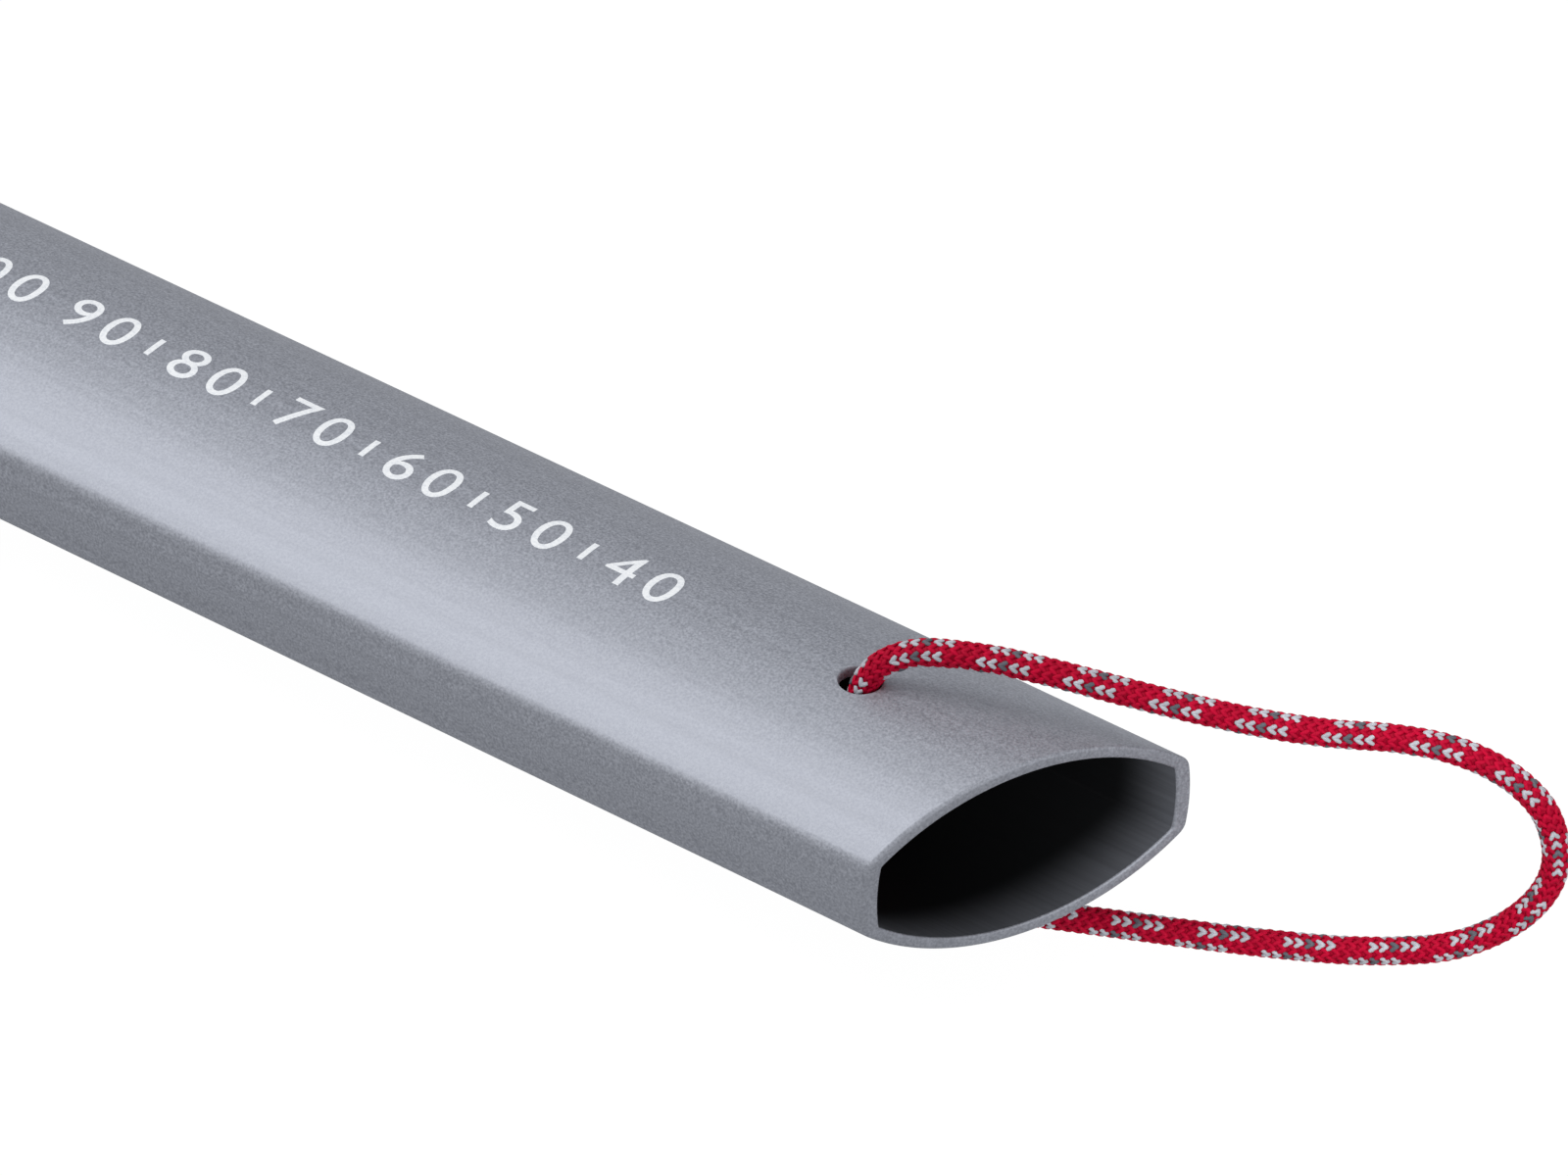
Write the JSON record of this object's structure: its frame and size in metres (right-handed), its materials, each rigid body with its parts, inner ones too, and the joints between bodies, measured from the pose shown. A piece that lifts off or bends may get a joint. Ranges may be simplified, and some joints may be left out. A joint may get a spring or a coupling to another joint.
{
  "type": "tent stake",
  "caption": "Hollow lens-section metal tent stake for snow or sand, open and cut at an angle at one end, slant-cut to a point at the other, with a braided cord pull loop.",
  "frame": {"origin": "middle of the aluminium tube's bounding box", "axes": "+X along the stake towards its open end, +Y across its width, +Z through its two broad faces"},
  "size_m": [0.2663, 0.0349, 0.0243],
  "materials": {
    "stake_metal": "bead-blasted and clear anodised, matt",
    "cord": "braided sheath with grey reflective flecks",
    "scale_ink": "thin white pad print"
  },
  "bodies": {
    "stake": {"stake_tube": "stake_metal"},
    "loop": {"pull_cord": "cord", "cord_knot": "cord", "cord_tail_upper": "cord", "cord_tail_lower": "cord"}
  },
  "joints": [
    {"name": "loop_swing", "type": "hinge", "parent": "stake", "child": "loop", "pos_m": [0.09942, 0, 0], "axis": [0, 0, 1], "range_deg": [-115, 65]}
  ]
}
